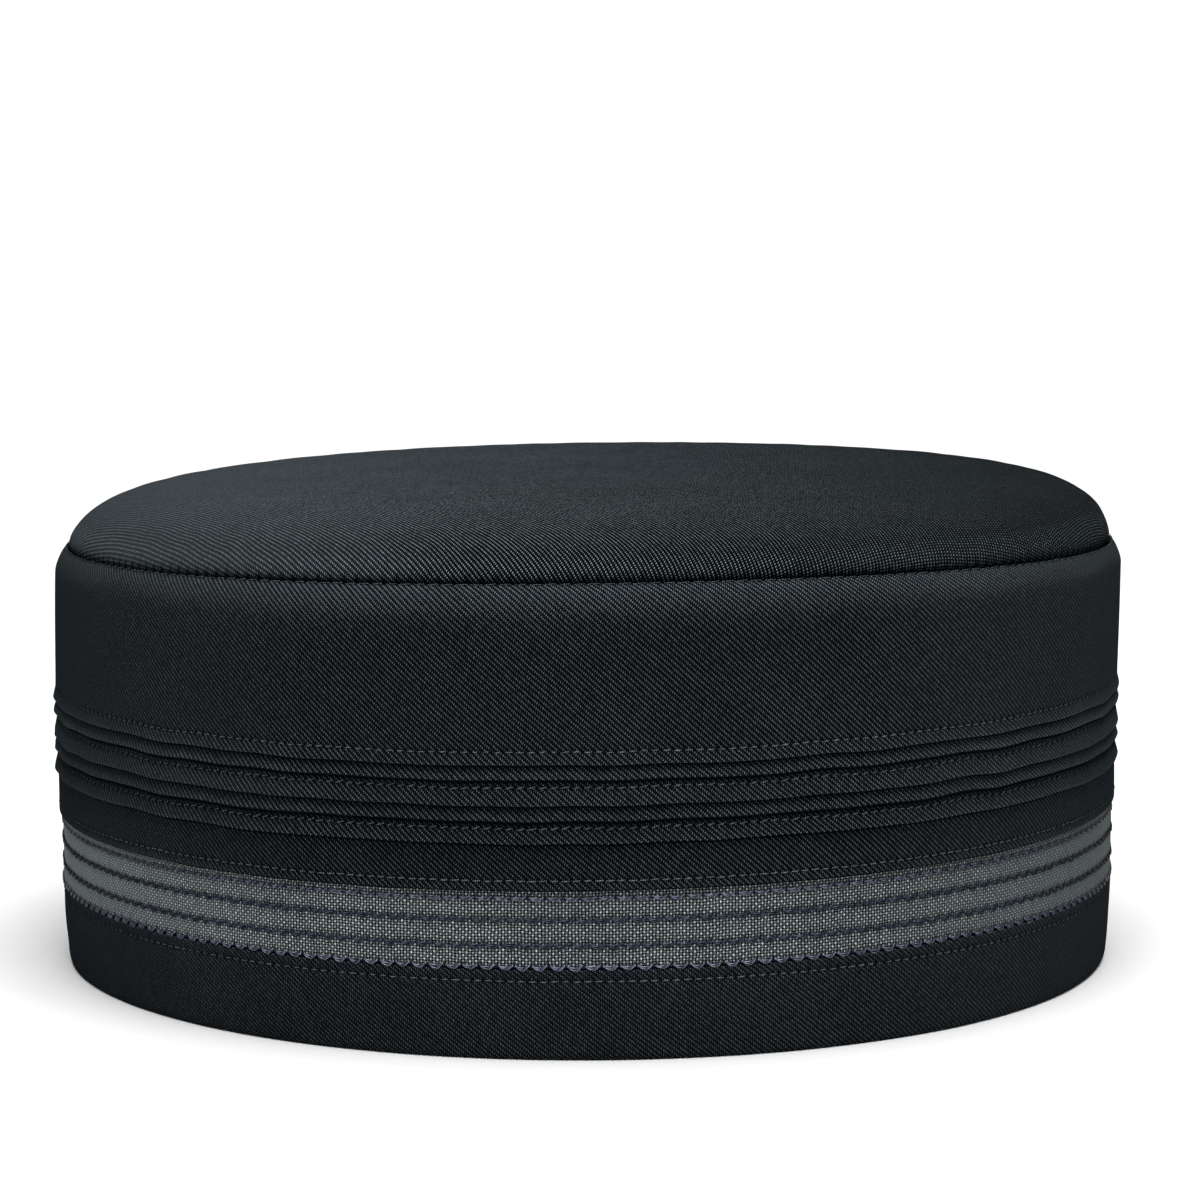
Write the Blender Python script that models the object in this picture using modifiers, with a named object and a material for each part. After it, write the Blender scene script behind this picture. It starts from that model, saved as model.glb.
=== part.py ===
"""A kufi cap: a round cloth cap with a domed top and an upright wall.

The cap stands on its hem at z = 0 with +Z up and its centre on the Z axis; the front is at -Y.
Four turned cloth pieces lie against each other: the crown, the side panel with its three
pressed tucks, the grey insert band, and the lower band with the turned hem.
Lengths are in metres.
"""
import math

import bpy

# The head opening and the cloths
HEAD_CIRCUMFERENCE = 0.5685     # measured inside, round the insert band
CLEARANCE = 0.0003              # between two pieces of cloth that are sewn together
INSERT_CLOTH = 0.0011           # thickness of the grey band
BAND_CLOTH = 0.0017             # thickness of the lower band at its folded top edge
HEM_CLOTH = 0.0020              # thickness of the lower band with its hem turned up inside
EDGE_CLOTH = 0.0022             # thickness of the side panel at its folded lower edge
WALL_CLOTH = 0.0021             # thickness of the side panel above the lap
LIP_CLOTH = 0.0012              # thickness of the side panel at the crown seam
CROWN_CLOTH = 0.0013            # thickness of the crown

# Heights
BAND_HEIGHT = 0.0147            # hem to the folded top edge of the lower band
INSERT_SHOWN = 0.0124           # grey that shows between the two folded edges
LAP = 0.0042                    # how far the insert runs on behind each edge
SIDE_HEIGHT = 0.0485            # folded lower edge of the side panel to the crown seam
TUCK_START = 0.0078             # plain cloth below the lowest tuck
TUCK_FIELD = 0.0145             # lowest fold edge to the topmost stitched line
CROWN_RISE = 0.0097             # crown seam to the top of the dome
CROWN_TURNING = 0.0029          # crown edge turned down inside, below the rolled edge

# Form
INSERT_SWELL = 0.0019           # how far the insert stands out between the two edges
WALL_FLARE = 0.0001             # how much wider the upper wall is than the side panel's edge
BELLY = 0.0001                  # how far the lower band swells halfway down
BAND_LEAN = 0.0008              # how far the lower band comes in from its top edge to the hem
SHOULDER_DROP = 0.0056          # height of the rolled top edge of the wall
SHOULDER_INSET = 0.0029         # how far that roll comes in to the seam
TUCK_LAYER = 0.0008             # how far the fold of a tuck stands proud
EDGE_ROUND = 0.0003             # rounding of a folded edge, where its cloth allows it
HEM_ROUND = 0.0005              # rounding of the hem, either side of its flat

# The way the cloth has settled
CROWN_SLIP = 0.0012             # sideways slip of the crown, towards +X
SLIP_POWER = 8                  # how strongly that slip gathers near the top
LINE_CLIMB = 0.0010             # how far the lines of the wall climb at +X and drop at -X
WALL_WAVE = 0.00025             # depth of the soft waves of the upper wall
WAVE_REACH = 0.0120             # how far those waves reach above and below their middle

# Form of the dome, a superellipse, and of the rolled edge, part of an ellipse
DOME_WIDTH_POWER = 6.0
DOME_RISE_POWER = 2.2
SHOULDER_SWEEP = math.radians(75)

# Fineness of the turned pieces
STEPS = 72
DOME_STEPS = 8
SHOULDER_STEPS = 5
INNER_STEPS = 3
MERGE_DISTANCE = 0.00001
SHARP_ANGLE = math.radians(40)

# Heights of the side panel's folded edge and the crown seam
SIDE_FOOT = BAND_HEIGHT + INSERT_SHOWN
SEAM_HEIGHT = SIDE_FOOT + SIDE_HEIGHT

# Radii, from the head opening outwards
INSERT_INNER = HEAD_CIRCUMFERENCE / (2 * math.pi)
INSERT_OUTER = INSERT_INNER + INSERT_CLOTH
LAP_INNER = INSERT_OUTER + CLEARANCE
BAND_OUTER = LAP_INNER + BAND_CLOTH
SIDE_EDGE_OUTER = LAP_INNER + EDGE_CLOTH
WALL_OUTER = SIDE_EDGE_OUTER + WALL_FLARE
WALL_INNER = WALL_OUTER - WALL_CLOTH

# Folds of the tucks, from the top down. Height is a share of TUCK_FIELD above the lowest fold,
# proud and valley are shares of TUCK_LAYER: how far the fold stands out, and how deep the
# stitched line below it is pulled in.
FOLDS = (
    # height, proud, valley
    (0.855, 0.60, 0.05),
    (0.662, 0.55, 0.60),
    (0.414, 0.60, 0.05),
    (0.228, 0.55, 0.60),
    (0.000, 0.65, 0.15),
)

# Soft waves of the upper wall: waves in a full turn, phase in turns, share of WALL_WAVE
WAVES = (
    # count, phase, share
    (3, 0.10, 0.60),
    (5, 0.45, 0.45),
    (8, 0.20, 0.30),
)

# Cloth colours, linear: red, green, blue
TWILL = (0.0065, 0.0095, 0.0105)
CROWN_TWILL = (0.0075, 0.0110, 0.0125)
GREY_WEAVE = (0.060, 0.070, 0.075)
CLOTH_ROUGHNESS = 0.85


def rounding(cloth):
    """The rounding of a folded edge, no more than its cloth allows."""
    return min(EDGE_ROUND, 0.4 * cloth)


def dome(radius, base, rise, steps):
    """Points of a superellipse from the axis out to its rim:
    (r / radius) ** DOME_WIDTH_POWER + (h / rise) ** DOME_RISE_POWER = 1."""
    points = []
    for step in range(steps + 1):
        turn = math.pi / 2 * step / steps
        r = radius * math.sin(turn) ** (2 / DOME_WIDTH_POWER)
        h = rise * max(math.cos(turn), 0.0) ** (2 / DOME_RISE_POWER)
        points.append((r, base + h))
    return points


def shoulder_point(share, depth, ahead=0.0):
    """A point of the rolled top edge: a share of the way from the wall to the seam, set in
    from the outer face by a depth, and moved ahead towards the crown."""
    turn = SHOULDER_SWEEP * share
    across = SHOULDER_INSET / (1 - math.cos(SHOULDER_SWEEP))
    up = SHOULDER_DROP / math.sin(SHOULDER_SWEEP)
    r = WALL_OUTER - across * (1 - math.cos(turn))
    z = SEAM_HEIGHT - SHOULDER_DROP + up * math.sin(turn)
    along_r, along_z = -across * math.sin(turn), up * math.cos(turn)
    length = math.hypot(along_r, along_z)
    along_r, along_z = along_r / length, along_z / length
    return (r - depth * along_z + ahead * along_r, z + depth * along_r + ahead * along_z)


def shoulder(depth_at_wall, depth_at_seam, steps):
    """Points of the rolled top edge from the wall up to the seam, set in from its outer face
    by a depth that changes evenly on the way."""
    points = []
    for step in range(steps + 1):
        share = step / steps
        depth = depth_at_wall + (depth_at_seam - depth_at_wall) * share
        points.append(shoulder_point(share, depth))
    return points


def crown_profile():
    """Dome, then the edge that turns down inside the seam, and back up the inner face."""
    rim, rim_height = shoulder_point(1.0, 0.0, CLEARANCE)
    turning_foot = SEAM_HEIGHT - SHOULDER_DROP - CROWN_TURNING
    outer = dome(rim, rim_height, CROWN_RISE, DOME_STEPS)
    gap_side = shoulder(WALL_CLOTH + CLEARANCE, LIP_CLOTH + CLEARANCE, INNER_STEPS)
    gap_side[-1] = shoulder_point(1.0, LIP_CLOTH + CLEARANCE, CLEARANCE)
    gap_side.insert(0, (gap_side[0][0], turning_foot))
    depth = CLEARANCE + CROWN_CLOTH
    head_side = shoulder(WALL_CLOTH + depth, LIP_CLOTH + depth, INNER_STEPS)
    head_side[0] = (head_side[0][0], turning_foot)
    head_side[-1] = shoulder_point(1.0, LIP_CLOTH, depth)
    inner = dome(rim - CROWN_CLOTH, rim_height, CROWN_RISE - CROWN_CLOTH, DOME_STEPS - 2)
    return outer + gap_side[::-1] + head_side + inner[::-1]


def side_profile():
    """Rolled top edge, upper wall, tucks and folded lower edge, then up the inner face."""
    outer = shoulder(0.0, 0.0, SHOULDER_STEPS)[::-1]
    field_foot = SIDE_FOOT + TUCK_START
    outer.append((WALL_OUTER, field_foot + TUCK_FIELD))
    for height, proud, valley in FOLDS:
        edge = field_foot + TUCK_FIELD * height
        face = WALL_OUTER + TUCK_LAYER * proud
        outer.append((face, edge + EDGE_ROUND))
        outer.append((face - EDGE_ROUND / 2, edge))
        outer.append((WALL_OUTER - TUCK_LAYER * valley, edge - EDGE_ROUND / 3))
    corner = rounding(EDGE_CLOTH)
    outer.append((SIDE_EDGE_OUTER, SIDE_FOOT + corner))
    outer.append((SIDE_EDGE_OUTER - corner, SIDE_FOOT))
    lap_top = SIDE_FOOT + LAP + CLEARANCE
    inner = [
        (LAP_INNER + corner, SIDE_FOOT),
        (LAP_INNER, SIDE_FOOT + corner),
        (LAP_INNER, lap_top),
        (WALL_INNER, lap_top + CLEARANCE),
    ]
    return outer + inner + shoulder(WALL_CLOTH, LIP_CLOTH, INNER_STEPS)


def insert_profile():
    """A strip that swells out between the two folded edges and laps behind both."""
    foot, top = BAND_HEIGHT, SIDE_FOOT
    step = CLEARANCE + EDGE_ROUND
    swell_foot, swell_top = foot + CLEARANCE + step, top - CLEARANCE - step
    swell_outer = INSERT_OUTER + INSERT_SWELL
    swell_inner = INSERT_INNER + INSERT_SWELL
    return [
        (INSERT_OUTER, top + LAP),
        (INSERT_OUTER, top - CLEARANCE),
        (swell_outer, swell_top),
        (swell_outer, swell_foot),
        (INSERT_OUTER, foot + CLEARANCE),
        (INSERT_OUTER, foot - LAP),
        (INSERT_INNER, foot - LAP),
        (INSERT_INNER, swell_foot),
        (swell_inner, swell_foot + step),
        (swell_inner, swell_top - step),
        (INSERT_INNER, swell_top),
        (INSERT_INNER, top + LAP),
    ]


def band_profile():
    """Folded top edge, face and flat hem, then the hem turned up inside, below the insert."""
    hem_outer = BAND_OUTER - BAND_LEAN
    hem_inner = hem_outer - HEM_CLOTH
    turned_top = BAND_HEIGHT - LAP - CLEARANCE
    corner = rounding(BAND_CLOTH)
    return [
        (BAND_OUTER - corner, BAND_HEIGHT),
        (BAND_OUTER, BAND_HEIGHT - corner),
        (BAND_OUTER - BAND_LEAN / 2 + BELLY, BAND_HEIGHT / 2),
        (hem_outer, 2 * HEM_ROUND),
        (hem_outer - HEM_ROUND / 3, HEM_ROUND / 2),
        (hem_outer - HEM_ROUND, 0.0),
        (hem_inner + HEM_ROUND / 2, 0.0),
        (hem_inner, HEM_ROUND),
        (hem_inner, turned_top - corner),
        (hem_inner + corner, turned_top),
        (LAP_INNER, turned_top),
        (LAP_INNER, BAND_HEIGHT - corner),
        (LAP_INNER + corner, BAND_HEIGHT),
    ]


def settled(point):
    """Where a point of the true turned form lies once the cloth has settled.

    The crown slips sideways, more the higher it is, the lines of the wall climb towards +X,
    and the upper wall has soft waves. The hem stays flat and round."""
    x, y, z = point
    full_height = SEAM_HEIGHT + CROWN_RISE
    angle = math.atan2(y, x)
    climb = LINE_CLIMB * x / WALL_OUTER * min(1.0, z / SIDE_FOOT)
    slip = CROWN_SLIP * (z / full_height) ** SLIP_POWER
    middle = (SIDE_FOOT + TUCK_START + TUCK_FIELD + SEAM_HEIGHT) / 2
    near_middle = math.exp(-(((z - middle) / WAVE_REACH) ** 2))
    wave = sum(share * math.cos(count * angle + 2 * math.pi * phase)
               for count, phase, share in WAVES)
    swell = 1 + WALL_WAVE / WALL_OUTER * wave * near_middle
    return (x * swell + slip, y * swell, z + climb)


def cloth_material(name, colour):
    """A dull woven cloth of one colour."""
    material = bpy.data.materials.new(name)
    material.use_nodes = True
    shader = material.node_tree.nodes["Principled BSDF"]
    shader.inputs["Base Color"].default_value = (*colour, 1.0)
    shader.inputs["Roughness"].default_value = CLOTH_ROUGHNESS
    shader.inputs["Metallic"].default_value = 0.0
    material.diffuse_color = (*colour, 1.0)
    return material


def turned_cloth(name, profile, closed, material, collection):
    """Turn a profile of (radius, height) points round the Z axis and let the cloth settle.

    A closed profile makes a ring, an open one starts and ends on the axis."""
    count = len(profile)
    edges = [(i, i + 1) for i in range(count - 1)]
    if closed:
        edges.append((count - 1, 0))
    outline = bpy.data.meshes.new(name)
    outline.from_pydata([(r, 0.0, z) for r, z in profile], edges, [])
    turned = bpy.data.objects.new(name, outline)
    collection.objects.link(turned)
    screw = turned.modifiers.new("Turn", "SCREW")
    screw.axis = "Z"
    screw.angle = 2 * math.pi
    screw.steps = STEPS
    screw.render_steps = STEPS
    screw.use_merge_vertices = True
    screw.merge_threshold = MERGE_DISTANCE

    evaluated = turned.evaluated_get(bpy.context.evaluated_depsgraph_get())
    cloth = bpy.data.meshes.new_from_object(evaluated)
    turned.modifiers.remove(screw)
    turned.data = cloth
    cloth.name = name
    bpy.data.meshes.remove(outline)
    for vertex in cloth.vertices:
        vertex.co = settled(vertex.co)
    cloth.shade_smooth()
    cloth.set_sharp_from_angle(angle=SHARP_ANGLE)
    cloth.materials.append(material)
    return turned


def build_cap():
    """Clear the scene and make the four pieces of the cap."""
    for old in list(bpy.data.objects):
        bpy.data.objects.remove(old, do_unlink=True)
    cap = bpy.data.collections.new("Kufi cap")
    bpy.context.scene.collection.children.link(cap)
    twill = cloth_material("Twill", TWILL)
    crown_twill = cloth_material("Crown twill", CROWN_TWILL)
    grey_weave = cloth_material("Grey weave", GREY_WEAVE)
    turned_cloth("crown_top", crown_profile(), False, crown_twill, cap)
    turned_cloth("side_panel", side_profile(), True, twill, cap)
    turned_cloth("insert_band", insert_profile(), True, grey_weave, cap)
    turned_cloth("lower_band", band_profile(), True, cloth_material("Band twill", TWILL), cap)


build_cap()
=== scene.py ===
import math

import bpy
import numpy as np
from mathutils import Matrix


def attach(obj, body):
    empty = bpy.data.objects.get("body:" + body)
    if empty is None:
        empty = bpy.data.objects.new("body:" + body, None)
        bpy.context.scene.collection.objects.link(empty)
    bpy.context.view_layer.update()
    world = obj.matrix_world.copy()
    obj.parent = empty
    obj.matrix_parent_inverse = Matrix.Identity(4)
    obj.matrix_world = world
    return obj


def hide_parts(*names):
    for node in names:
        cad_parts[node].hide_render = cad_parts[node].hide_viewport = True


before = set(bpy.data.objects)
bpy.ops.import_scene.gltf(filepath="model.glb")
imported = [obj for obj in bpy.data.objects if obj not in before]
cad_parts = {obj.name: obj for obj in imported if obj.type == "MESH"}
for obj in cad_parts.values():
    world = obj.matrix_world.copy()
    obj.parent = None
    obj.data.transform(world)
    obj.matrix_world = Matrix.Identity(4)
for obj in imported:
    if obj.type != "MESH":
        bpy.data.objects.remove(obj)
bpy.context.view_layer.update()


# Side panel: one long strip of near-black 2/1 twill, carried upright round the head.
# Its top edge rolls over into the crown seam, three tucks are pressed down in it, which
# leaves five fold edges on show, and its lower edge is folded under over the grey insert.
MM = 0.001
COLUMNS = 480
WALL_RADIUS = 94.18 * MM
WALL_INSIDE = 92.08 * MM
SEAM_HEIGHT = 75.6 * MM
ROLL_DROP = 5.6 * MM
ROLL_INSET = 2.9 * MM
ROLL_SWEEP = math.radians(75)
LIP_INSIDE = (90.84 * MM, 74.48 * MM)
LIP_BEND = 0.40 * MM
SIDE_FOOT = 27.5 * MM
FOOT_OUTSIDE = 94.08 * MM
FOOT_INSIDE = 91.88 * MM
FOOT_LAP = 4.25 * MM
TUCK_FOOT = 34.9 * MM
TUCK_FIELD = 14.5 * MM
TUCK_LAYER = 0.8 * MM
EDGE_BEND = 0.30 * MM
CREVICE_BEND = 0.05 * MM
CREVICE_RISE = 0.35 * MM
FOLDS = (
    # height as a share of the tuck field, then as shares of the tuck layer how far the fold
    # stands out and how deep the crevice under it is, then the height of the crevice's wall
    (0.855, 0.60, 0.25, 0.20 * MM),
    (0.697, 0.60, 0.30, 0.55 * MM),
    (0.414, 0.60, 0.25, 0.20 * MM),
    (0.251, 0.60, 0.30, 0.55 * MM),
    (0.000, 0.65, 0.20, 0.20 * MM),
)
WALL_ROWS = (49.4 * MM, 43.8 * MM, 37.4 * MM, 29.0 * MM)
ROW_SINK = 0.10 * MM
ROW_SPREAD = 0.40 * MM

# The twill's threads, and how much it is brushed smooth at the sides
WARP_SPACING = 0.345 * MM
WEFT_SPACING = 0.275 * MM
TWILL_REPEAT = 3
WARP_LEAN = 0.115
WEFT_SHOWN = 0.35
SIDE_NAP = 0.65

# How the cap has settled
LINE_CLIMB = 1.0 * MM
CROWN_SLIP = 1.2 * MM
SLIP_POWER = 8
SEAM_DROOP = 2.3 * MM
SEAM_DROOP_RIGHT = 0.5 * MM
SEAM_SPREAD = 0.5 * MM
SEAM_SPREAD_SIDES = 0.7 * MM
SEAM_REACH = 5.0 * MM
CROWN_HEIGHT = 85.3 * MM
WAVE_DEPTH = 0.25 * MM
WAVE_REACH = 12.0 * MM
WAVE_MIDDLE = 62.5 * MM
WAVES = (
    # waves round the head, phase as a share of a turn, share of the depth
    (3, 0.10, 0.60),
    (5, 0.45, 0.45),
    (8, 0.20, 0.30),
)


def settled(points):
    """Where the cloth lies once the cap has been worn and set down. Height lines climb in
    proportion to x above the insert, the crown slips towards +X with a high power of its
    height, and the wall swells and hollows by a sum of cosines that fades off its middle. Near
    the crown seam the cloth droops with the square of x, and spreads as far as the wall's
    face, most at the sides."""
    x, y, z = np.moveaxis(points, -1, 0)
    angle = np.arctan2(y, x)
    climb = LINE_CLIMB * x / WALL_RADIUS * np.clip(z / SIDE_FOOT, None, 1.0)
    slip = CROWN_SLIP * np.clip(z / CROWN_HEIGHT, 0.0, None) ** SLIP_POWER
    wave = sum(share * np.cos(count * angle + 2 * np.pi * phase) for count, phase, share in WAVES)
    swell = 1 + WAVE_DEPTH / WALL_RADIUS * wave * hump(z, WAVE_MIDDLE, WAVE_REACH)
    share = x / WALL_RADIUS
    near_seam = hump(z, SEAM_HEIGHT, SEAM_REACH)
    droop = (SEAM_DROOP + SEAM_DROOP_RIGHT * share) * share**2 * near_seam
    inset = np.clip((WALL_RADIUS - np.hypot(x, y)) / ROLL_INSET, 0.0, 1.0)
    swell += (SEAM_SPREAD + SEAM_SPREAD_SIDES * share**2) / WALL_RADIUS * near_seam * inset
    return np.stack((x * swell + slip, y * swell, z + climb - droop), axis=-1)


def hump(values, middle, reach):
    """A smooth bump of height one round the middle: e to minus the square of the distance."""
    return np.exp(-(((values - middle) / reach) ** 2))


def ramp(values, low, high):
    """Nought below low, one above high and straight between."""
    return np.clip((values - low) / (high - low), 0.0, 1.0)


def to_sides(angle, radius, low, high):
    """Nought within low of the plane through the cap's front and back, one past high."""
    return ramp(np.abs(radius * np.cos(angle)), low, high)


def side_nap(angle, radius):
    """How far the cloth is brushed smooth: most at the left and right sides of the cap."""
    return SIDE_NAP * to_sides(angle, radius, 45 * MM, 88 * MM)


def drift(angle, height, seed, fewest, most, reach):
    """A soft random field on a ring: the sum of 14 cosines, each with a whole number of waves
    round the head and its own slow run with height, scaled to a mean square of one."""
    dice = np.random.default_rng(seed)
    count = dice.integers(fewest, most, 14)
    run = dice.normal(0.0, 1.0 / reach, 14)
    phase = dice.uniform(0.0, 2 * np.pi, 14)
    waves = np.cos(angle[..., None] * count + height[..., None] * run + phase)
    return waves.sum(axis=-1) * math.sqrt(2 / 14)


def eased(corners, steps=6):
    """A closed line through (radius, height, bend) corners, each corner turned by a parabola:
    the line leaves the first side one bend before the corner and joins the next one past it."""
    corners = np.array(corners)
    points, bends = corners[:, :2], corners[:, 2]
    before = np.roll(points, 1, axis=0) - points
    after = np.roll(points, -1, axis=0) - points
    before_length = np.linalg.norm(before, axis=1)
    after_length = np.linalg.norm(after, axis=1)
    bend = np.minimum(bends, 0.49 * np.minimum(before_length, after_length))
    first = points + before * (bend / before_length)[:, None]
    last = points + after * (bend / after_length)[:, None]
    t = np.linspace(0, 1, steps)[None, :, None]
    arc = (1 - t) ** 2 * first[:, None] + 2 * t * (1 - t) * points[:, None] + t**2 * last[:, None]
    line = arc.reshape(-1, 2)
    apart = np.linalg.norm(line - np.roll(line, 1, axis=0), axis=1) > 0.01 * MM
    return line[apart]


def length_along(line, closed):
    """The line's points, a closed line's first point again at its end, and the length from the
    first point to each."""
    ends = np.vstack((line, line[:1])) if closed else line
    steps = np.linalg.norm(np.diff(ends, axis=0), axis=1)
    return ends, np.concatenate(([0.0], np.cumsum(steps)))


def refined(line, closed, coarse, fine, fine_heights, face_radius):
    """The same line with points added: one every coarse step, and one every fine step where it
    passes within 0.9 mm of a fine height outside the face radius."""
    ends, length = length_along(line, closed)
    dense = np.arange(0.0, length[-1], fine)
    radius = np.interp(dense, length, ends[:, 0])
    height = np.interp(dense, length, ends[:, 1])
    away = np.abs(height[:, None] - np.array(fine_heights)).min(axis=1)
    close = dense[(away < 0.9 * MM) & (radius > face_radius)]
    places = np.unique(np.concatenate((length, np.arange(0.0, length[-1], coarse), close)))
    places = places[(places < length[-1]) if closed else (places <= length[-1])]
    places = places[np.concatenate(([True], np.diff(places) > 0.05 * MM))]
    return np.stack([np.interp(places, length, ends[:, k]) for k in (0, 1)], axis=-1)


def carried_round(line, columns):
    """A grid of angles, radii and heights: the (radius, height) line at each column's angle.
    The columns start at the back."""
    angle = np.pi / 2 + np.linspace(0, 2 * np.pi, columns, endpoint=False)
    angle, radius = np.meshgrid(angle, line[:, 0], indexing="ij")
    height = np.broadcast_to(line[:, 1], radius.shape)
    return angle, radius, height.copy()


def placed(angle, radius, height):
    """Settled points: (radius cos angle, radius sin angle, height) before the settling."""
    return settled(np.stack((radius * np.cos(angle), radius * np.sin(angle), height), axis=-1))


def cloth_mesh(name, points, threads, closed, poles=()):
    """One mesh from a grid of points, columns round the head by steps along the profile, with
    faces between neighbours. threads gives each grid corner's warp and weft thread, as the UV
    map of that name. A closed profile joins its last step to its first. An open one has a pole
    at each end, joined to its end ring by triangles."""
    columns, steps = points.shape[:2]
    index = np.arange(columns * steps).reshape(columns, steps)
    index = np.vstack((index, index[:1]))
    if closed:
        index = np.hstack((index, index[:, :1]))

    def around(grid):
        return np.stack((grid[:-1, :-1], grid[:-1, 1:], grid[1:, 1:], grid[1:, :-1]), axis=2)

    faces = around(index).reshape(-1, 4).tolist()
    uv = around(threads[:, : index.shape[1]]).reshape(-1, 2)
    corners = points.reshape(-1, 3)
    if len(poles):
        top, bottom = len(corners), len(corners) + 1
        corners = np.vstack((corners, np.array([place for place, thread in poles])))
        ring = np.full(columns, top), index[:-1, 0], index[1:, 0]
        faces += np.stack(ring, axis=-1).tolist()
        ring = index[:-1, -1], np.full(columns, bottom), index[1:, -1]
        faces += np.stack(ring, axis=-1).tolist()
        centre = np.broadcast_to(poles[0][1], (columns, 2))
        uv_top = np.stack((centre, threads[:-1, 0], threads[1:, 0]), axis=1)
        centre = np.broadcast_to(poles[1][1], (columns, 2))
        uv_bottom = np.stack((threads[:-1, -1], centre, threads[1:, -1]), axis=1)
        uv = np.vstack((uv, uv_top.reshape(-1, 2), uv_bottom.reshape(-1, 2)))
    mesh = bpy.data.meshes.new(name)
    mesh.from_pydata(corners.tolist(), [], faces)
    mesh.uv_layers.new(name="threads").data.foreach_set("uv", uv.astype(np.float32).ravel())
    mesh.shade_smooth()
    piece = bpy.data.objects.new(name, mesh)
    bpy.context.collection.objects.link(piece)
    return piece


def mark(piece, name, values):
    """A number for each vertex, which the cloth's finish reads by its name. Poles get none."""
    layer = piece.data.attributes.new(name, "FLOAT", "POINT")
    filled = np.zeros(len(piece.data.vertices), np.float32)
    filled[: values.size] = values.ravel()
    layer.data.foreach_set("value", filled)


def ring_threads(line, columns, radius):
    """Thread numbers on a ring of cloth: warp threads are counted round the head, a whole
    number of repeats in all, and weft threads down the profile's own length."""
    length = length_along(line, True)[1]
    repeats = round(2 * np.pi * radius / (TWILL_REPEAT * WARP_SPACING))
    warp = np.linspace(0, repeats * TWILL_REPEAT, columns + 1)
    return np.stack(np.meshgrid(warp, length / WEFT_SPACING, indexing="ij"), axis=-1)


def node(tree, kind, inputs=(), **settings):
    """Adds one shader node. Its inputs are (place or name, number or socket) pairs."""
    made = tree.nodes.new(kind)
    for name, value in settings.items():
        setattr(made, name, value)
    for place, value in inputs:
        if isinstance(value, bpy.types.NodeSocket):
            tree.links.new(value, made.inputs[place])
        else:
            made.inputs[place].default_value = value
    return made


def reckon(tree, operation, *values):
    """One sum on numbers or sockets, as a Math node. Gives its result."""
    return node(tree, "ShaderNodeMath", list(enumerate(values)), operation=operation).outputs[0]


def noise(tree, scale, detail=2.0):
    """Soft random values from 0 to 1 in the piece's own space, scale patches to the metre."""
    place = node(tree, "ShaderNodeTexCoord").outputs["Object"]
    settings = [("Vector", place), ("Scale", scale), ("Detail", detail)]
    return node(tree, "ShaderNodeTexNoise", settings).outputs["Fac"]


def chance_of(tree, first, second):
    """A random number from 0 to 1 for each pair of whole numbers."""
    place = node(tree, "ShaderNodeCombineXYZ", [(0, first), (1, second)]).outputs[0]
    made = node(tree, "ShaderNodeTexWhiteNoise", [("Vector", place)], noise_dimensions="2D")
    return made.outputs["Value"]


def mixed(tree, share, first, second):
    """Two colours mixed by a share. A colour Mix node takes them at places 6 and 7."""
    pairs = [(0, share), (6, first), (7, second)]
    return node(tree, "ShaderNodeMix", pairs, data_type="RGBA").outputs[2]


def attribute(tree, name):
    """The number that mark() left under this name."""
    return node(tree, "ShaderNodeAttribute", attribute_name=name).outputs["Fac"]


def needle_holes(tree, holes):
    """Needle holes along marked lines, given as (mark, count, phase): the mark times a cosine
    round the head, sharpened. Where two lines meet the deeper hole counts."""
    place = node(tree, "ShaderNodeTexCoord").outputs["Object"]
    axes = node(tree, "ShaderNodeSeparateXYZ", [(0, place)]).outputs
    angle = reckon(tree, "ARCTAN2", axes["Y"], axes["X"])
    pull = 0.0
    for name, count, phase in holes:
        turn = reckon(tree, "MULTIPLY_ADD", angle, float(count), phase)
        peak = reckon(tree, "MULTIPLY_ADD", reckon(tree, "COSINE", turn), 0.5, 0.5)
        hole = reckon(tree, "MULTIPLY", reckon(tree, "POWER", peak, 3.0), attribute(tree, name))
        pull = reckon(tree, "MAXIMUM", pull, hole)
    return pull


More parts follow.
